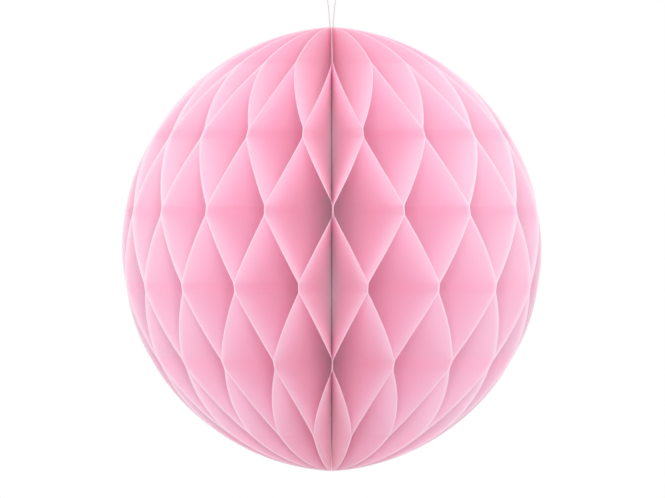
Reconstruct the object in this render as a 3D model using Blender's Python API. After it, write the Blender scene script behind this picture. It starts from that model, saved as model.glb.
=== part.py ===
"""Honeycomb paper ball that hangs from a thread loop.

Tissue sheets are stacked between two cards, glued in stripes that change places from one
joint to the next, cut to a circular segment, fanned right round their straight edge and
closed by sticking card to card. The stripes hold the fan open as rows of lozenge cells.

Frame: metres, origin at the ball's centre, +Z up the spine to the thread. The front is -Y.
The seam between the two cards is at the back, in the plane x = 0 on the +Y side.
"""

from math import asin, ceil, cos, pi, radians, sin, sqrt

import bmesh
import bpy
from mathutils import Vector
from mathutils.geometry import interpolate_bezier

# Cut outline, shared by the tissue and the cards
CUT_RADIUS = 0.100
SPINE_INSET = 0.006
SPINE_HOLE_RADIUS = 0.0012

# Tissue pack
SHEET_COUNT = 38
SHEET_THICKNESS = 0.00006
GLUE_FILM = 0.00005
STRIPE_PITCH = 0.0339
STRIPE_WIDTH = 0.0042
TIP_MARGIN = 0.008
FAN_DRIFT = radians(5.2)
FAN_SPREAD = radians(1.8)

# Closing cards and the adhesive strips between them
CARD_THICKNESS = 0.00035
STRIP_THICKNESS = 0.00015
STRIP_CLEARANCE = 0.00003
STRIP_WIDTH = 0.012
STRIP_LENGTH = 0.045
STRIP_RIM_MARGIN = 0.004
STRIP_FROM_EQUATOR = 0.004

# Hanging thread, its knot and the eyelet that both cards share
THREAD_DIAMETER = 0.0006
THREAD_CLEARANCE = 0.00004
EYELET_DIAMETER = 0.0026
EYELET_FROM_SPINE = 0.015
EYELET_RIM_MARGIN = 0.010
KNOT_DIAMETER = 0.0013
KNOT_LENGTH = 0.0020
KNOT_ABOVE_EYELET = 0.0050
KNOT_GAP = 0.0003
LOOP_WIDTH = 0.0072
LOOP_ABOVE_TIP = 0.0255
LOOP_OPENS_ABOVE_TIP = 0.0035

# Fineness of the round forms
OUTLINE_STEP = radians(4.7)
EYELET_SIDES = 16
KNOT_SEGMENTS = 12
KNOT_RINGS = 8
POINT_SPACING = 2.6 * THREAD_DIAMETER
POINT_TURN = radians(24)

TIP_Z = sqrt(CUT_RADIUS**2 - (SPINE_INSET + SPINE_HOLE_RADIUS) ** 2)
STRIPE_COUNT = 2 * int((TIP_Z - TIP_MARGIN) / STRIPE_PITCH + 0.5)
CARD_INNER_FACE = STRIP_THICKNESS / 2 + STRIP_CLEARANCE
CARD_OUTER_FACE = CARD_INNER_FACE + CARD_THICKNESS
SEAM_HALF_WIDTH = CARD_OUTER_FACE + GLUE_FILM / 2
SHEET_OFFSET = (SHEET_THICKNESS + GLUE_FILM) / 2


def clear_scene():
    for old in list(bpy.data.objects):
        bpy.data.objects.remove(old, do_unlink=True)


def make_material(name, colour, roughness):
    material = bpy.data.materials.new(name)
    material.use_nodes = True
    shader = material.node_tree.nodes["Principled BSDF"]
    shader.inputs["Base Color"].default_value = (*colour, 1.0)
    shader.inputs["Roughness"].default_value = roughness
    shader.inputs["Metallic"].default_value = 0.0
    return material


def add_object(name, data, material):
    """Put a mesh or a curve into the scene under its part name."""
    thing = bpy.data.objects.new(name, data)
    data.materials.append(material)
    bpy.context.scene.collection.objects.link(thing)
    return thing


def mesh_from(bm, name):
    bmesh.ops.recalc_face_normals(bm, faces=bm.faces)
    mesh = bpy.data.meshes.new(name)
    bm.to_mesh(mesh)
    bm.free()
    return mesh


def thicken(thing, thickness):
    """Give a surface its paper thickness, half to each side."""
    solid = thing.modifiers.new("thickness", "SOLIDIFY")
    solid.thickness = thickness
    solid.offset = 0.0
    solid.use_even_offset = True


def rim_reach(z):
    """Distance of the cut edge from the spine at height z."""
    return sqrt(CUT_RADIUS**2 - z * z) - SPINE_INSET


def rim_height(reach):
    """Height of the cut edge at a distance from the spine."""
    return sqrt(CUT_RADIUS**2 - (reach + SPINE_INSET) ** 2)


def split_turn(low, high):
    """Heights on the cut circle from one turn angle up to another, the last left out."""
    parts = ceil((high - low) / OUTLINE_STEP)
    return [CUT_RADIUS * sin(low + (high - low) * k / parts) for k in range(parts)]


def stripe_z(level):
    """Height of a glue stripe, counted from the top one down."""
    return ((STRIPE_COUNT - 1) / 2 - level) * STRIPE_PITCH


def row_heights():
    """Heights of a sheet's rows between its tips.

    Every stripe edge is a row, and the stretches between them are split so that the cut
    edge stays round.
    """
    stops = [-TIP_Z, TIP_Z]
    for level in range(STRIPE_COUNT):
        stops += [stripe_z(level) - STRIPE_WIDTH / 2, stripe_z(level) + STRIPE_WIDTH / 2]
    turns = sorted(asin(z / CUT_RADIUS) for z in stops)
    heights = []
    for low, high in zip(turns, turns[1:]):
        heights += split_turn(low, high)
    return heights[1:]


def glued_side(sheet, level):
    """+1 where a sheet is glued to the one after it, -1 where to the one before."""
    return 1 if (sheet + level) % 2 else -1


def swing(sheet, z):
    """Where a sheet lies between its two neighbours at height z, from -1 to +1."""
    for level in range(STRIPE_COUNT):
        top_edge = stripe_z(level) + STRIPE_WIDTH / 2
        if z >= top_edge and level > 0:
            run = STRIPE_PITCH - STRIPE_WIDTH
            return glued_side(sheet, level) * (1 - 2 * (z - top_edge) / run)
        if z >= top_edge - STRIPE_WIDTH:
            return glued_side(sheet, level)
    return glued_side(sheet, STRIPE_COUNT - 1)


def plane_azimuth(index):
    """Azimuth of the plane between two neighbouring sheets; the first and last are the seam.

    The fan has opened a little wider on the +X side than on the -X side, and a little
    wider at the front than at the back.
    """
    even = 2 * pi * index / SHEET_COUNT
    side = sin(even)
    return pi / 2 + even + FAN_DRIFT * side**2 - FAN_SPREAD * side * abs(side)


def make_sheet(sheet, material):
    """One tissue sheet, modelled along +X and turned to its place in the fan."""
    before, after = plane_azimuth(sheet - 1), plane_azimuth(sheet)
    half_angle = (after - before) / 2

    def point(reach, z):
        side = swing(sheet, z)
        turn = side * half_angle
        back_off = side * SHEET_OFFSET
        return (
            reach * cos(turn) + back_off * sin(turn),
            reach * sin(turn) - back_off * cos(turn),
            z,
        )

    bm = bmesh.new()
    rows = [
        [bm.verts.new(point(SPINE_HOLE_RADIUS, z)), bm.verts.new(point(rim_reach(z), z))]
        for z in row_heights()
    ]
    rows.insert(0, [bm.verts.new(point(SPINE_HOLE_RADIUS, -TIP_Z))])
    rows.append([bm.verts.new(point(SPINE_HOLE_RADIUS, TIP_Z))])
    for low, high in zip(rows, rows[1:]):
        bm.faces.new(low + high[::-1])
    name = f"tissue_sheet_{sheet:02d}"
    thing = add_object(name, mesh_from(bm, name), material)
    thicken(thing, SHEET_THICKNESS)
    # The cards' own thickness spreads the fan's two halves apart
    fan_share = (sheet - 0.5) / SHEET_COUNT
    thing.location.x = -SEAM_HALF_WIDTH * cos(pi * fan_share)
    thing.rotation_euler.z = before + half_angle


def eyelet_height():
    return rim_height(EYELET_FROM_SPINE) - EYELET_RIM_MARGIN


def eyelet_cutter():
    """A rod across the seam that cuts the eyelet through both cards."""
    bm = bmesh.new()
    bmesh.ops.create_cone(
        bm,
        cap_ends=True,
        segments=EYELET_SIDES,
        radius1=EYELET_DIAMETER / 2,
        radius2=EYELET_DIAMETER / 2,
        depth=4 * CARD_OUTER_FACE,
    )
    cutter = bpy.data.objects.new("eyelet_cutter", mesh_from(bm, "eyelet_cutter"))
    bpy.context.scene.collection.objects.link(cutter)
    cutter.location = (0, EYELET_FROM_SPINE, eyelet_height())
    cutter.rotation_euler.y = pi / 2
    cutter.hide_render = True
    cutter.display_type = "WIRE"
    return cutter


def make_card(name, side, cutter, material):
    """A closing card in the seam plane, cut to the outline of the tissue."""
    tip = asin(TIP_Z / CUT_RADIUS)
    heights = split_turn(-tip, tip) + [TIP_Z]
    bm = bmesh.new()
    bm.faces.new([bm.verts.new((0, rim_reach(z), z)) for z in heights])
    thing = add_object(name, mesh_from(bm, name), material)
    thing.location.x = side * (CARD_INNER_FACE + CARD_THICKNESS / 2)
    thicken(thing, CARD_THICKNESS)
    cut = thing.modifiers.new("eyelet", "BOOLEAN")
    cut.operation = "DIFFERENCE"
    cut.solver = "EXACT"
    cut.object = cutter


def make_strip(name, side, material):
    """Double-sided adhesive strip between the cards, upright near the round edge."""
    far_end = STRIP_FROM_EQUATOR + STRIP_LENGTH
    rim = rim_reach(far_end) - STRIP_RIM_MARGIN
    bm = bmesh.new()
    bmesh.ops.create_cube(bm, size=1.0)
    bmesh.ops.scale(bm, verts=bm.verts, vec=(STRIP_THICKNESS, STRIP_WIDTH, STRIP_LENGTH))
    thing = add_object(name, mesh_from(bm, name), material)
    middle = STRIP_FROM_EQUATOR + STRIP_LENGTH / 2
    thing.location = (0, rim - STRIP_WIDTH / 2, side * middle)


def strand_offset():
    """Sideways distance of a thread strand that lies against a card."""
    return CARD_OUTER_FACE + THREAD_CLEARANCE + THREAD_DIAMETER / 2


def knot_centre():
    beside_card = CARD_OUTER_FACE + THREAD_CLEARANCE + KNOT_DIAMETER / 2
    return Vector((-beside_card, EYELET_FROM_SPINE, eyelet_height() + KNOT_ABOVE_EYELET))


def thread_route():
    """The thread's own points: from under the knot, through the eyelet and round the loop.

    Taut strands lie along the cards and turn under the eyelet's upper edge in a half circle.
    """
    strand = strand_offset()
    knot = knot_centre()
    half_loop = LOOP_WIDTH / 2
    eyelet_edge = EYELET_DIAMETER / 2 * cos(pi / EYELET_SIDES) - THREAD_CLEARANCE
    turn_centre = eyelet_height() + eyelet_edge
    opens = TIP_Z + LOOP_OPENS_ABOVE_TIP
    top = TIP_Z + LOOP_ABOVE_TIP
    knot_end = KNOT_LENGTH / 2 + KNOT_GAP
    across_and_up = [
        (knot.x, knot.z - knot_end),
        (-strand, (knot.z - knot_end + turn_centre) / 2),
        (-strand, turn_centre),
        (-strand * sin(pi / 4), turn_centre - strand * cos(pi / 4)),
        (0, turn_centre - strand),
        (strand * sin(pi / 4), turn_centre - strand * cos(pi / 4)),
        (strand, turn_centre),
        (strand, turn_centre + 0.0040),
        (strand, TIP_Z - 0.0040),
        (strand * 1.10, opens),
        (half_loop * 0.50, opens + 0.0090),
        (half_loop * 0.94, top - half_loop - 0.0010),
        (half_loop * 0.80, top - half_loop * 0.42),
        (0, top),
        (-half_loop * 0.80, top - half_loop * 0.42),
        (-half_loop * 0.94, top - half_loop - 0.0010),
        (-half_loop * 0.50, opens + 0.0090),
        (-strand * 1.10, opens),
        (-strand, TIP_Z - 0.0040),
        (-strand, knot.z + knot_end + 0.0020),
        (knot.x, knot.z + knot_end),
    ]
    return [Vector((x, EYELET_FROM_SPINE, z)) for x, z in across_and_up]


def smooth_points(route):
    """Points along a smooth curve through a route, closer together in tight bends."""
    fine = []
    for k, (start, end) in enumerate(zip(route, route[1:])):
        before = route[max(k - 1, 0)]
        after = route[min(k + 2, len(route) - 1)]
        third = (end - start).length / 3
        leave = start + (end - before).normalized() * third
        arrive = end - (after - start).normalized() * third
        fine += interpolate_bezier(start, leave, arrive, end, 24)[:-1]
    points = [fine[0]]
    heading = fine[1] - fine[0]
    for here, there in zip(fine, fine[1:]):
        turned = heading.angle(there - here)
        if (here - points[-1]).length >= POINT_SPACING or turned >= POINT_TURN:
            points.append(here)
            heading = there - here
    return points + [route[-1]]


def make_thread(material):
    points = smooth_points(thread_route())
    curve = bpy.data.curves.new("hanging_thread", "CURVE")
    curve.dimensions = "3D"
    curve.bevel_depth = THREAD_DIAMETER / 2
    curve.bevel_resolution = 2
    curve.use_fill_caps = True
    spline = curve.splines.new("POLY")
    spline.points.add(len(points) - 1)
    for spot, place in zip(spline.points, points):
        spot.co = (*place, 1.0)
    add_object("hanging_thread", curve, material)


def make_knot(material):
    """The knot that ties the thread's two ends together beside the card."""
    bm = bmesh.new()
    bmesh.ops.create_uvsphere(
        bm, u_segments=KNOT_SEGMENTS, v_segments=KNOT_RINGS, radius=0.5
    )
    bmesh.ops.scale(bm, verts=bm.verts, vec=(KNOT_DIAMETER, KNOT_DIAMETER, KNOT_LENGTH))
    thing = add_object("thread_knot", mesh_from(bm, "thread_knot"), material)
    thing.data.shade_smooth()
    thing.location = knot_centre()


def make_ball():
    clear_scene()
    tissue = make_material("pink tissue", (0.93, 0.53, 0.67), 0.85)
    card = make_material("pale pink card", (0.92, 0.66, 0.74), 0.80)
    adhesive = make_material("adhesive film", (0.88, 0.86, 0.80), 0.45)
    thread = make_material("white thread", (0.80, 0.80, 0.78), 0.70)
    for sheet in range(1, SHEET_COUNT + 1):
        make_sheet(sheet, tissue)
    cutter = eyelet_cutter()
    make_card("card_left", -1, cutter, card)
    make_card("card_right", 1, cutter, card)
    make_strip("adhesive_strip_upper", 1, adhesive)
    make_strip("adhesive_strip_lower", -1, adhesive)
    make_thread(thread)
    make_knot(thread)


make_ball()
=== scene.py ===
"""Honeycomb paper ball on its hanging thread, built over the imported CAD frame.

The sheets repeat the CAD model's own law of glue stripes and fan angles, with finer rows and
columns, rounded folds and the slight unevenness of hand-opened tissue. Metres throughout.
"""

from math import asin, ceil, cos, pi, radians, sin, sqrt

import bmesh
import bpy
import numpy as np
from mathutils import Matrix, Vector, noise
from mathutils.geometry import interpolate_bezier


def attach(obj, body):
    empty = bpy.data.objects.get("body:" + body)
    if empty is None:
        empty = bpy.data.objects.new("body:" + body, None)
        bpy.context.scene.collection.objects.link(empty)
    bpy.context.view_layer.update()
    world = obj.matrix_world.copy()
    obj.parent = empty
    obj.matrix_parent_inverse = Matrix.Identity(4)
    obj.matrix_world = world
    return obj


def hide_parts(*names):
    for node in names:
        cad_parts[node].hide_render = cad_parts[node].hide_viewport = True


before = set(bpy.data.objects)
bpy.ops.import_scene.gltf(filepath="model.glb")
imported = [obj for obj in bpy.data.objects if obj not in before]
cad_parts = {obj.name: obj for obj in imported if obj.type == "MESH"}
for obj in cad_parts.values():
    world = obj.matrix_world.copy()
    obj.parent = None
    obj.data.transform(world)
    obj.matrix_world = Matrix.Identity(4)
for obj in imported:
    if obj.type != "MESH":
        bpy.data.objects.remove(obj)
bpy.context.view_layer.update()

# The photograph's frame and the camera
PHOTO_WIDTH = 665
METRES_PER_PIXEL = 0.00044964
CAMERA_DISTANCE = 2.85
CAMERA_AZIMUTH = radians(-0.3)
AIM = Vector((0.00034, 0.0, 0.0))
SENSOR_WIDTH = 36.0

# Cut outline, glue stripes and fan, as in the CAD model
CUT_RADIUS = 0.100
SPINE_INSET = 0.006
SPINE_HOLE_RADIUS = 0.0012
SHEET_COUNT = 38
SHEET_THICKNESS = 0.00006
GLUE_FILM = 0.00005
STRIPE_PITCH = 0.0339
STRIPE_WIDTH = 0.0042
STRIPE_COUNT = 6
FAN_DRIFT = radians(5.2)
FAN_SPREAD = radians(1.8)
STRIP_THICKNESS = 0.00015
STRIP_CLEARANCE = 0.00003
CARD_THICKNESS = 0.00035
CARD_INNER_FACE = STRIP_THICKNESS / 2 + STRIP_CLEARANCE
CARD_OUTER_FACE = CARD_INNER_FACE + CARD_THICKNESS
SEAM_HALF_WIDTH = CARD_OUTER_FACE + GLUE_FILM / 2
SHEET_OFFSET = (SHEET_THICKNESS + GLUE_FILM) / 2
TIP_Z = sqrt(CUT_RADIUS**2 - (SPINE_INSET + SPINE_HOLE_RADIUS) ** 2)

# Thread, eyelet and knot, as in the CAD model
THREAD_DIAMETER = 0.0006
THREAD_CLEARANCE = 0.00004
EYELET_DIAMETER = 0.0026
EYELET_FROM_SPINE = 0.015
EYELET_RIM_MARGIN = 0.010
EYELET_SIDES = 16
KNOT_DIAMETER = 0.0013
KNOT_LENGTH = 0.0020
KNOT_ABOVE_EYELET = 0.0050
KNOT_GAP = 0.0003
LOOP_WIDTH = 0.0072
LOOP_ABOVE_TIP = 0.0255
LOOP_OPENS_ABOVE_TIP = 0.0035

# Fineness of the tissue meshes, and how uneven the opened paper is
TIP_ROW_LENGTH = 0.0003
ROW_TURN = radians(1.25)
FOLD_ROUNDING = 0.00055
FOLD_SAMPLES = 7
SHEET_COLUMNS = 17
COLUMN_CROWDING = 1.5
PLANE_WANDER = radians(0.35)
PLANE_WANDER_LENGTH = 0.045
COCKLE_DEPTH = 0.00010
COCKLE_LENGTH = 0.011

# Fineness of the cards
CARD_OUTLINE_TURN = radians(1.5)
CARD_EDGE_ROUNDING = 0.00005
EYELET_FINE_SIDES = 40

# Thread plies
PLY_RADIUS = THREAD_DIAMETER * 0.27
PLY_OFFSET = THREAD_DIAMETER * 0.24
PLY_PITCH = 0.0024
PLY_SIDES = 8
THREAD_STEP = 0.00022


def rim_reach(z):
    """Distance of the cut edge from the spine at height z."""
    return sqrt(CUT_RADIUS**2 - z * z) - SPINE_INSET


def rim_height(reach):
    """Height of the cut edge at a distance from the spine."""
    return sqrt(CUT_RADIUS**2 - (reach + SPINE_INSET) ** 2)


def stripe_z(level):
    """Height of a glue stripe, counted from the top one down."""
    return ((STRIPE_COUNT - 1) / 2 - level) * STRIPE_PITCH


def glued_side(sheet, level):
    """+1 where a sheet is glued to the one after it, -1 where to the one before."""
    return 1 if (sheet + level) % 2 else -1


def swing(sheet, z):
    """Where a sheet lies between its two neighbours at height z, from -1 to +1."""
    for level in range(STRIPE_COUNT):
        top_edge = stripe_z(level) + STRIPE_WIDTH / 2
        if z >= top_edge and level > 0:
            run = STRIPE_PITCH - STRIPE_WIDTH
            return glued_side(sheet, level) * (1 - 2 * (z - top_edge) / run)
        if z >= top_edge - STRIPE_WIDTH:
            return glued_side(sheet, level)
    return glued_side(sheet, STRIPE_COUNT - 1)


def soft_swing(sheet, z):
    """The swing with its folds rounded, because tissue doesn't crease to a knife edge."""
    steps = [FOLD_ROUNDING * (2 * k / (FOLD_SAMPLES - 1) - 1) for k in range(FOLD_SAMPLES)]
    return sum(swing(sheet, z + step) for step in steps) / FOLD_SAMPLES


def plane_azimuth(index):
    """Azimuth of the plane between two neighbouring sheets; the first and last are the seam."""
    even = 2 * pi * index / SHEET_COUNT
    side = sin(even)
    return pi / 2 + even + FAN_DRIFT * side**2 - FAN_SPREAD * side * abs(side)


def wandering_azimuth(index, z, reach):
    """The plane's azimuth with the small wander of paper opened by hand, none at the seam."""
    if index in (0, SHEET_COUNT):
        return plane_azimuth(index)
    place = Vector((z / PLANE_WANDER_LENGTH, reach / PLANE_WANDER_LENGTH, index * 3.7))
    return plane_azimuth(index) + PLANE_WANDER * noise.noise(place)


# Camera
camera_data = bpy.data.cameras.new("camera")
camera = bpy.data.objects.new("camera", camera_data)
bpy.context.scene.collection.objects.link(camera)
bpy.context.scene.camera = camera
camera_data.sensor_width = SENSOR_WIDTH
camera_data.lens = SENSOR_WIDTH * CAMERA_DISTANCE / (PHOTO_WIDTH * METRES_PER_PIXEL)
camera_data.clip_start = 0.1
camera_data.clip_end = 50.0
camera.location = AIM + CAMERA_DISTANCE * Vector((sin(CAMERA_AZIMUTH), -cos(CAMERA_AZIMUTH), 0))
camera.rotation_euler = (pi / 2, 0, CAMERA_AZIMUTH)


class Nodes:
    """Short calls for building one material's nodes."""

    def __init__(self, name):
        self.material = bpy.data.materials.new(name)
        self.material.use_nodes = True
        self.tree = self.material.node_tree
        self.tree.nodes.clear()

    def set(self, socket, value):
        if isinstance(value, bpy.types.NodeSocket):
            self.tree.links.new(value, socket)
        elif value is not None:
            socket.default_value = value

    def add(self, kind, inputs=(), **settings):
        node = self.tree.nodes.new("ShaderNode" + kind)
        for key, value in settings.items():
            setattr(node, key, value)
        for key, value in dict(inputs).items():
            self.set(node.inputs[key], value)
        return node

    def place(self, scale=(1, 1, 1)):
        """Object coordinates in metres, scaled along each axis."""
        source = self.add("TexCoord").outputs["Object"]
        return self.add("Mapping", {"Vector": source, "Scale": scale}).outputs[0]

    def attribute(self, name):
        return self.add("Attribute", attribute_name=name)

    def noise(self, vector, scale, detail=3.0, roughness=0.55):
        inputs = {"Vector": vector, "Scale": scale, "Detail": detail, "Roughness": roughness}
        return self.add("TexNoise", inputs).outputs["Fac"]

    def fit(self, value, low, high, to_low=0.0, to_high=1.0):
        inputs = {0: value, 1: low, 2: high, 3: to_low, 4: to_high}
        return self.add("MapRange", inputs).outputs[0]

    def math(self, operation, a, b=None):
        node = self.add("Math", {0: a}, operation=operation)
        if b is not None:
            self.set(node.inputs[1], b)
        return node.outputs[0]

    def mix(self, fac, a, b, blend="MIX"):
        node = self.add("Mix", {0: fac}, data_type="RGBA", blend_type=blend)
        for socket, colour in ((node.inputs[6], a), (node.inputs[7], b)):
            self.set(socket, (*colour, 1.0) if isinstance(colour, tuple) else colour)
        return node.outputs[2]

    def bump(self, height, strength, distance):
        inputs = {"Strength": strength, "Distance": distance, "Height": height}
        return self.add("Bump", inputs).outputs[0]

    def finish(self, shader):
        self.add("OutputMaterial", {"Surface": shader})
        return self.material


# Tissue: how much of each colour one face of the thin sheet sends back or lets through near the cut
# edge, the share let through, and the soft shine of pressed paper. Deep in the cells the colour is
# painted paler, as painted light that lifts the shade between the sheets, and a band along the cut
# edge is painted near white, as painted light where the rim catches light from both sides
TISSUE_RIM = (0.988, 0.815, 0.90)
# Painted light: paler colour deep in the cells, lifting the shade between the sheets
TISSUE_DEEP_PAINTED_LIGHT = (0.984, 0.94, 0.963)
TISSUE_SHARE_THROUGH = 0.50
TISSUE_SHINE = 0.3
TISSUE_SHEEN = 1.0
# Painted light: a near-white band painted along the cut edge, as a painted highlight of the rim
EDGE_PAINTED_LIGHT = (0.998, 0.95, 0.975)
EDGE_PAINTED_LIGHT_BAND = 0.0020
PAINTED_LIGHT_DEEP_FROM = 0.020
PAINTED_LIGHT_DEEP_TO = 0.090


def tissue_material():
    n = Nodes("pink tissue")
    sheet = n.attribute("sheet_place").outputs["Vector"]
    inward = n.attribute("rim_distance").outputs["Fac"]
    cloud = n.noise(sheet, 90.0, 3.0)
    fibre = n.noise(n.add("Mapping", {"Vector": sheet, "Scale": (900, 2600, 900)}).outputs[0], 1.0)
    tone = n.math("ADD", n.fit(cloud, 0.3, 0.7, -0.5, 0.5), n.fit(fibre, 0.3, 0.7, -0.5, 0.5))
    # Painted light along the cut edge, fading inward across the band
    edge = n.fit(inward, 0.0, EDGE_PAINTED_LIGHT_BAND, 1.0, 0.0)
    # Painted light deep in the cells: the colour turns paler towards the spine to lift the shade
    # there
    painted_deep_light_mask = n.fit(inward, PAINTED_LIGHT_DEEP_FROM, PAINTED_LIGHT_DEEP_TO)
    # The sheet's own pink, with the painted light of the deep cells and of the cut edge mixed in
    plain = n.mix(edge, n.mix(painted_deep_light_mask, TISSUE_RIM, TISSUE_DEEP_PAINTED_LIGHT), EDGE_PAINTED_LIGHT)
    value = n.fit(tone, -1.0, 1.0, 0.985, 1.0)
    colour = n.add("HueSaturation", {"Value": value, "Color": plain}).outputs[0]
    bump = n.bump(fibre, 0.25, 0.00003)
    back = n.add(
        "BsdfPrincipled",
        {
            "Base Color": colour,
            "Roughness": 0.6,
            "Specular IOR Level": TISSUE_SHINE,
            "Sheen Weight": TISSUE_SHEEN,
            "Normal": bump,
        },
    )
    through = n.add("BsdfTranslucent", {"Color": colour, "Normal": bump})
    both = n.add(
        "MixShader", {0: TISSUE_SHARE_THROUGH, 1: back.outputs[0], 2: through.outputs[0]}
    )
    return n.finish(both.outputs[0])


def card_material():
    n = Nodes("pale pink card")
    place = n.place()
    grain = n.noise(place, 700.0, 4.0)
    cloud = n.noise(place, 110.0, 2.0)
    colour = n.mix(n.fit(cloud, 0.3, 0.7), (0.86, 0.52, 0.61), (0.90, 0.60, 0.68))
    shader = n.add(
        "BsdfPrincipled",
        {
            "Base Color": colour,
            "Roughness": n.fit(grain, 0.3, 0.7, 0.72, 0.86),
            "Specular IOR Level": 0.3,
            "Normal": n.bump(grain, 0.3, 0.00006),
        },
    )
    return n.finish(shader.outputs[0])


def adhesive_material():
    n = Nodes("adhesive film")
    grain = n.noise(n.place(), 500.0, 3.0)
    colour = n.mix(n.fit(grain, 0.35, 0.65), (0.84, 0.80, 0.70), (0.90, 0.88, 0.82))
    shader = n.add(
        "BsdfPrincipled",
        {
            "Base Color": colour,
            "Roughness": n.fit(grain, 0.3, 0.7, 0.30, 0.50),
            "Normal": n.bump(grain, 0.2, 0.00003),
        },
    )
    return n.finish(shader.outputs[0])


def thread_material():
    n = Nodes("white thread")
    along = n.attribute("ply_place").outputs["Vector"]
    fibre = n.noise(n.add("Mapping", {"Vector": along, "Scale": (1200, 6, 1)}).outputs[0], 1.0, 4.0)
    colour = n.mix(n.fit(fibre, 0.3, 0.7), (0.66, 0.66, 0.65), (0.86, 0.86, 0.84))
    shader = n.add(
        "BsdfPrincipled",
        {
            "Base Color": colour,
            "Roughness": 0.75,
            "Specular IOR Level": 0.25,
            "Sheen Weight": 0.2,
            "Normal": n.bump(fibre, 0.5, 0.00005),
        },
    )
    return n.finish(shader.outputs[0])


def add_piece(name, mesh, material, slot, *nodes):
    """Link a finished mesh and hide the CAD nodes it stands for."""
    mesh.materials.append(material)
    piece = bpy.data.objects.new(name, mesh)
    bpy.context.scene.collection.objects.link(piece)
    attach(piece, "root")
    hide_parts(*nodes)
    return piece


def smooth_points(route, step):
    """Points about a step apart along a smooth curve through a route."""
    fine = []
    for k, (start, end) in enumerate(zip(route, route[1:])):
        before = route[max(k - 1, 0)]
        after = route[min(k + 2, len(route) - 1)]
        third = (end - start).length / 3
        leave = start + (end - before).normalized() * third
        arrive = end - (after - start).normalized() * third
        fine += interpolate_bezier(start, leave, arrive, end, 60)[:-1]
    points = [fine[0]]
    for place in fine[1:]:
        if (place - points[-1]).length >= step:
            points.append(place)
    return points[:-1] + [route[-1]]


def frames_along(points):
    """A direction and two steady cross directions at each point of a line."""
    found = []
    across = None
    for k, place in enumerate(points):
        ahead = points[min(k + 1, len(points) - 1)] - points[max(k - 1, 0)]
        ahead.normalize()
        if across is None:
            across = ahead.orthogonal()
        across = (across - ahead * across.dot(ahead)).normalized()
        found.append((place, across, ahead.cross(across)))
    return found


def add_tube(bm, points, radius, sides, place_layer=None, ply=0, closed=False):
    """A tube of round section along points, with rounded ends unless it closes on itself."""
    rings = []
    travelled = 0.0
    for k, (centre, across, up) in enumerate(frames_along(points)):
        if k:
            travelled += (points[k] - points[k - 1]).length
        ring = []
        for s in range(sides):
            turn = 2 * pi * s / sides
            vert = bm.verts.new(centre + radius * (across * cos(turn) + up * sin(turn)))
            if place_layer is not None:
                vert[place_layer] = Vector((travelled, turn, ply))
            ring.append(vert)
        rings.append(ring)
    pairs = list(zip(rings, rings[1:])) + ([(rings[-1], rings[0])] if closed else [])
    for low, high in pairs:
        for s in range(sides):
            t = (s + 1) % sides
            bm.faces.new((low[s], low[t], high[t], high[s]))
    if not closed:
        bm.faces.new(rings[0][::-1])
        bm.faces.new(rings[-1])


def eyelet_height():
    return rim_height(EYELET_FROM_SPINE) - EYELET_RIM_MARGIN


def strand_offset():
    """Sideways distance of a thread strand that lies against a card."""
    return CARD_OUTER_FACE + THREAD_CLEARANCE + THREAD_DIAMETER / 2


def knot_centre():
    beside_card = CARD_OUTER_FACE + THREAD_CLEARANCE + KNOT_DIAMETER / 2
    return Vector((-beside_card, EYELET_FROM_SPINE, eyelet_height() + KNOT_ABOVE_EYELET))


def thread_route():
    """The thread's own points: from under the knot, through the eyelet and round the loop."""
    strand = strand_offset()
    knot = knot_centre()
    half_loop = LOOP_WIDTH / 2
    eyelet_edge = EYELET_DIAMETER / 2 * cos(pi / EYELET_SIDES) - THREAD_CLEARANCE
    turn_centre = eyelet_height() + eyelet_edge
    opens = TIP_Z + LOOP_OPENS_ABOVE_TIP
    top = TIP_Z + LOOP_ABOVE_TIP
    knot_end = KNOT_LENGTH / 2 + KNOT_GAP
    across_and_up = [
        (knot.x, knot.z - knot_end),
        (-strand, (knot.z - knot_end + turn_centre) / 2),
        (-strand, turn_centre),
        (-strand * sin(pi / 4), turn_centre - strand * cos(pi / 4)),
        (0, turn_centre - strand),
        (strand * sin(pi / 4), turn_centre - strand * cos(pi / 4)),
        (strand, turn_centre),
        (strand, turn_centre + 0.0040),
        (strand, TIP_Z - 0.0040),
        (strand * 1.10, opens),
        (half_loop * 0.50, opens + 0.0090),
        (half_loop * 0.94, top - half_loop - 0.0010),
        (half_loop * 0.80, top - half_loop * 0.42),
        (0, top),
        (-half_loop * 0.80, top - half_loop * 0.42),
        (-half_loop * 0.94, top - half_loop - 0.0010),
        (-half_loop * 0.50, opens + 0.0090),
        (-strand * 1.10, opens),
        (-strand, TIP_Z - 0.0040),
        (-strand, knot.z + knot_end + 0.0020),
        (knot.x, knot.z + knot_end),
    ]
    return [Vector((x, EYELET_FROM_SPINE, z)) for x, z in across_and_up]


def new_tube_mesh():
    bm = bmesh.new()
    return bm, bm.verts.layers.float_vector.new("ply_place")


def tube_mesh(bm, name):
    mesh = bpy.data.meshes.new(name)
    bmesh.ops.recalc_face_normals(bm, faces=bm.faces)
    bm.to_mesh(mesh)
    bm.free()
    mesh.shade_smooth()
    mesh.set_sharp_from_angle(angle=radians(60))
    return mesh


def make_thread(material):
    """Two plies twisted round each other along the thread's route."""
    line = smooth_points(thread_route(), THREAD_STEP)
    bm, layer = new_tube_mesh()
    travelled = 0.0
    plies = [[], []]
    for k, (centre, across, up) in enumerate(frames_along(line)):
        if k:
            travelled += (line[k] - line[k - 1]).length
        for ply in (0, 1):
            turn = 2 * pi * travelled / PLY_PITCH + pi * ply
            plies[ply].append(centre + PLY_OFFSET * (across * cos(turn) + up * sin(turn)))
    for ply in (0, 1):
        add_tube(bm, plies[ply], PLY_RADIUS, PLY_SIDES, layer, ply)
    thread = add_piece(
        "thread_two_ply", tube_mesh(bm, "thread_two_ply"), material, "thread", "hanging_thread"
    )
    return thread, line


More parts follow.
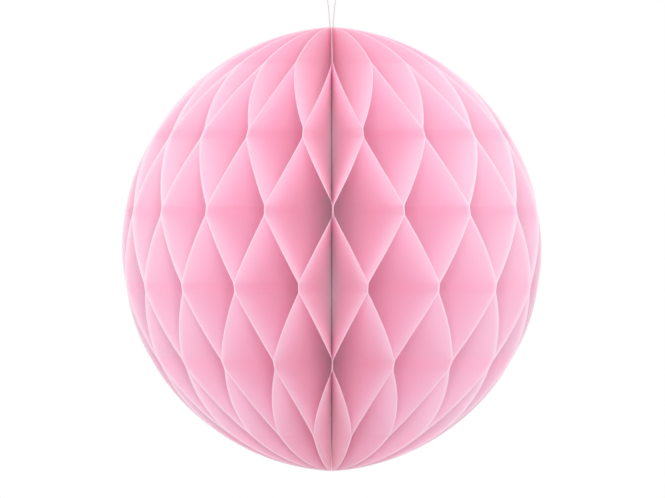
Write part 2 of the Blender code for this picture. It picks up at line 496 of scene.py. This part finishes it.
def make_knot(material):
    """A small tied knot: a trefoil of compressed thread round the strands, with two tails."""
    centre = knot_centre()
    tube_radius = KNOT_DIAMETER * 0.19
    wide = KNOT_DIAMETER / 2 - tube_radius
    tall = KNOT_LENGTH / 2 - tube_radius
    loop = []
    for k in range(96):
        t = 2 * pi * k / 96
        out = (2 + cos(3 * t)) / 3
        loop.append(
            centre
            + Vector((wide * out * cos(2 * t), wide * sin(3 * t) * 0.9, tall * out * sin(2 * t)))
        )
    bm, layer = new_tube_mesh()
    add_tube(bm, loop, tube_radius, 10, layer, closed=True)
    for side in (-1, 1):
        start = centre + Vector((0, side * 0.0003, -0.0006))
        tail = [
            start,
            start + Vector((0.0001, side * 0.0007, -0.0005)),
            start + Vector((0.0, side * 0.0011, -0.0013)),
            start + Vector((-0.0001, side * 0.0013, -0.0023)),
        ]
        add_tube(bm, smooth_points(tail, 0.0002), PLY_RADIUS * 1.1, 8, layer)
    return add_piece(
        "thread_knot_tied", tube_mesh(bm, "thread_knot_tied"), material, "thread", "thread_knot"
    )


def row_heights():
    """Heights of a sheet's rows: close together at each fold, even on the round edge."""
    end = rim_height(SPINE_HOLE_RADIUS + TIP_ROW_LENGTH)
    stops = [-end, end]
    for level in range(STRIPE_COUNT):
        for side in (-1, 1):
            fold = stripe_z(level) + side * STRIPE_WIDTH / 2
            stops += [fold - FOLD_ROUNDING, fold, fold + FOLD_ROUNDING]
    turns = sorted(asin(z / CUT_RADIUS) for z in stops)
    heights = []
    for low, high in zip(turns, turns[1:]):
        parts = ceil((high - low) / ROW_TURN)
        heights += [CUT_RADIUS * sin(low + (high - low) * k / parts) for k in range(parts)]
    return heights + [end]


def sheet_surface(sheet):
    """The middle surface of a sheet as rows of points, and each point's reach and height."""
    fan_share = (sheet - 0.5) / SHEET_COUNT
    shift = -SEAM_HALF_WIDTH * cos(pi * fan_share)
    shares = [1 - (1 - k / (SHEET_COLUMNS - 1)) ** COLUMN_CROWDING for k in range(SHEET_COLUMNS)]
    points, places = [], []
    for z in row_heights():
        side = soft_swing(sheet, z)
        rim = rim_reach(z)
        row, row_places = [], []
        for share in shares:
            reach = SPINE_HOLE_RADIUS + share * (rim - SPINE_HOLE_RADIUS)
            before = wandering_azimuth(sheet - 1, z, reach)
            after = wandering_azimuth(sheet, z, reach)
            azimuth = (before + after) / 2 + side * (after - before) / 2
            free = (1 - abs(side)) * min(reach / CUT_RADIUS, 1.0)
            wave = noise.noise(Vector((reach, z, sheet * 0.05)) / COCKLE_LENGTH)
            back_off = side * SHEET_OFFSET + COCKLE_DEPTH * free * wave
            row.append(
                (
                    reach * cos(azimuth) + back_off * sin(azimuth) + shift,
                    reach * sin(azimuth) - back_off * cos(azimuth),
                    z,
                )
            )
            row_places.append((reach, z, rim - reach))
        points.append(row)
        places.append(row_places)
    return np.array(points), np.array(places)


def thin_solid(name, middle, thickness):
    """A closed thin sheet round a middle surface given as rows of points."""
    rows, columns, _ = middle.shape
    normal = np.cross(np.gradient(middle, axis=1), np.gradient(middle, axis=0))
    normal /= np.linalg.norm(normal, axis=2, keepdims=True)
    points = np.stack([middle + normal * thickness / 2, middle - normal * thickness / 2])
    corner = np.arange(rows * columns).reshape(rows, columns)
    behind = rows * columns
    a, b, c, d = corner[:-1, :-1], corner[:-1, 1:], corner[1:, 1:], corner[1:, :-1]
    front_faces = np.stack([a, b, c, d], axis=-1).reshape(-1, 4)
    back_faces = front_faces[:, ::-1] + behind
    border = np.concatenate(
        [corner[0, :-1], corner[:-1, -1], corner[-1, :0:-1], corner[:0:-1, 0]]
    )
    following = np.roll(border, -1)
    edge_faces = np.stack([following, border, border + behind, following + behind], axis=-1)
    faces = np.concatenate([front_faces, back_faces, edge_faces])
    mesh = bpy.data.meshes.new(name)
    mesh.from_pydata(points.reshape(-1, 3).tolist(), [], faces.tolist())
    mesh.shade_smooth()
    mesh.set_sharp_from_angle(angle=radians(50))
    return mesh


def make_sheet(sheet, material):
    middle, places = sheet_surface(sheet)
    mesh = thin_solid(f"tissue_{sheet:02d}", middle, SHEET_THICKNESS)
    flat = places.reshape(-1, 3)
    on_sheet = np.column_stack([flat[:, 0], flat[:, 1], np.full(len(flat), sheet * 0.13)])
    spots = mesh.attributes.new("sheet_place", "FLOAT_VECTOR", "POINT")
    spots.data.foreach_set("vector", np.concatenate([on_sheet, on_sheet]).ravel())
    rims = mesh.attributes.new("rim_distance", "FLOAT", "POINT")
    rims.data.foreach_set("value", np.concatenate([flat[:, 2], flat[:, 2]]))
    name = f"tissue_{sheet:02d}"
    return add_piece(name, mesh, material, "tissue", f"tissue_sheet_{sheet:02d}")


def card_outline():
    """The card's cut outline from the lower tip round to the upper one, in (reach, z)."""
    tip = asin(TIP_Z / CUT_RADIUS)
    steps = ceil(2 * tip / CARD_OUTLINE_TURN)
    heights = [CUT_RADIUS * sin(tip * (2 * k / steps - 1)) for k in range(steps + 1)]
    return [Vector((rim_reach(z), z)) for z in heights]


def eyelet_outline():
    """The eyelet's round edge in (reach, z)."""
    centre = Vector((EYELET_FROM_SPINE, eyelet_height()))
    turns = [2 * pi * k / EYELET_FINE_SIDES for k in range(EYELET_FINE_SIDES)]
    return [centre + EYELET_DIAMETER / 2 * Vector((cos(turn), sin(turn))) for turn in turns]


def make_card(name, side, material, node):
    """A closing card as a closed board with its eyelet, its cut edges a little rounded."""
    bm = bmesh.new()
    edges = []
    for ring in (card_outline(), eyelet_outline()):
        verts = [bm.verts.new((0, reach, z)) for reach, z in ring]
        edges += [bm.edges.new((a, b)) for a, b in zip(verts, verts[1:] + verts[:1])]
    bmesh.ops.triangle_fill(bm, edges=edges, use_beauty=True)
    inner = side * CARD_INNER_FACE
    moved = bmesh.ops.extrude_face_region(bm, geom=list(bm.faces), use_keep_orig=True)
    raised = [v for v in moved["geom"] if isinstance(v, bmesh.types.BMVert)]
    for vert in bm.verts:
        vert.co.x = inner
    for vert in raised:
        vert.co.x = inner + side * CARD_THICKNESS
    bmesh.ops.recalc_face_normals(bm, faces=bm.faces)
    sharp = [e for e in bm.edges if len(e.link_faces) == 2 and e.calc_face_angle(0) > radians(60)]
    bmesh.ops.bevel(bm, geom=sharp, offset=CARD_EDGE_ROUNDING, segments=2, profile=0.6)
    mesh = bpy.data.meshes.new(name)
    bm.to_mesh(mesh)
    bm.free()
    mesh.shade_smooth()
    mesh.set_sharp_from_angle(angle=radians(35))
    return add_piece(name, mesh, material, "card", node)


# Studio: the world's level, the lamps as (name, place, size, watts), and the floor
WORLD_LIGHT = 0.50
LAMPS = (
    ("front", (0.0, -3.2, 0.2), 1.0, 43.5),
    ("key_left", (-2.0, -1.8, 1.6), 1.6, 8.0),
    ("key_right", (2.0, -1.8, 1.6), 1.6, 6.0),
    ("top", (0.0, -0.2, 2.4), 1.6, 18.0),
)
MOST_BOUNCES = 64
FLOOR_HALF_WIDTH = 3.0
FLOOR_BELOW_BALL = 0.35


def make_floor():
    """A plain pale floor under the hanging ball, see-through from below."""
    half = FLOOR_HALF_WIDTH
    corners = [(-half, -half, 0), (half, -half, 0), (half, half, 0), (-half, half, 0)]
    mesh = bpy.data.meshes.new("floor")
    mesh.from_pydata(corners, [], [(0, 1, 2, 3)])
    n = Nodes("pale floor")
    grain = n.noise(n.place(), 6.0)
    colour = n.mix(n.fit(grain, 0.3, 0.7), (0.86, 0.86, 0.86), (0.88, 0.88, 0.88))
    painted = n.add("BsdfDiffuse", {"Color": colour}).outputs[0]
    from_below = n.add("NewGeometry").outputs["Backfacing"]
    clear = n.add("BsdfTransparent").outputs[0]
    shader = n.add("MixShader", {0: from_below, 1: painted, 2: clear})
    floor = bpy.data.objects.new("floor", mesh)
    mesh.materials.append(n.finish(shader.outputs[0]))
    floor.location.z = -FLOOR_BELOW_BALL
    bpy.context.scene.collection.objects.link(floor)


def add_lamp(name, location, size, power):
    """A square soft lamp that faces the ball."""
    lamp = bpy.data.lights.new(name, "AREA")
    lamp.size = size
    lamp.energy = power
    thing = bpy.data.objects.new(name, lamp)
    thing.location = location
    thing.rotation_euler = (-Vector(location)).to_track_quat("-Z", "Y").to_euler()
    thing.visible_camera = False
    bpy.context.scene.collection.objects.link(thing)


def make_world():
    """Plain white to the camera, and the studio's level to everything else."""
    world = bpy.data.worlds.new("studio")
    bpy.context.scene.world = world
    world.use_nodes = True
    tree = world.node_tree
    tree.nodes.clear()
    path = tree.nodes.new("ShaderNodeLightPath")
    seen = path.outputs["Is Camera Ray"]
    for ray in ("Is Glossy Ray", "Is Transmission Ray"):
        either = tree.nodes.new("ShaderNodeMath")
        either.operation = "MAXIMUM"
        tree.links.new(seen, either.inputs[0])
        tree.links.new(path.outputs[ray], either.inputs[1])
        seen = either.outputs[0]
    level = tree.nodes.new("ShaderNodeMapRange")
    tree.links.new(seen, level.inputs[0])
    level.inputs[3].default_value = WORLD_LIGHT
    level.inputs[4].default_value = 1.0
    background = tree.nodes.new("ShaderNodeBackground")
    tree.links.new(level.outputs[0], background.inputs["Strength"])
    background.inputs["Color"].default_value = (1, 1, 1, 1)
    out = tree.nodes.new("ShaderNodeOutputWorld")
    tree.links.new(background.outputs[0], out.inputs["Surface"])


thread_look = thread_material()
thread, thread_line = make_thread(thread_look)
knot = make_knot(thread_look)

tissue_look = tissue_material()
for sheet in range(1, SHEET_COUNT + 1):
    make_sheet(sheet, tissue_look)

card_look = card_material()
make_card("card_board_left", -1, card_look, "card_left")
make_card("card_board_right", 1, card_look, "card_right")
adhesive_look = adhesive_material()
for node in ("adhesive_strip_upper", "adhesive_strip_lower"):
    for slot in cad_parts[node].material_slots:
        slot.material = adhesive_look

make_world()
make_floor()
for lamp in LAMPS:
    add_lamp(*lamp)

scene = bpy.context.scene
scene.view_settings.view_transform = "Standard"
scene.cycles.max_bounces = MOST_BOUNCES
scene.cycles.diffuse_bounces = MOST_BOUNCES
scene.cycles.transmission_bounces = MOST_BOUNCES
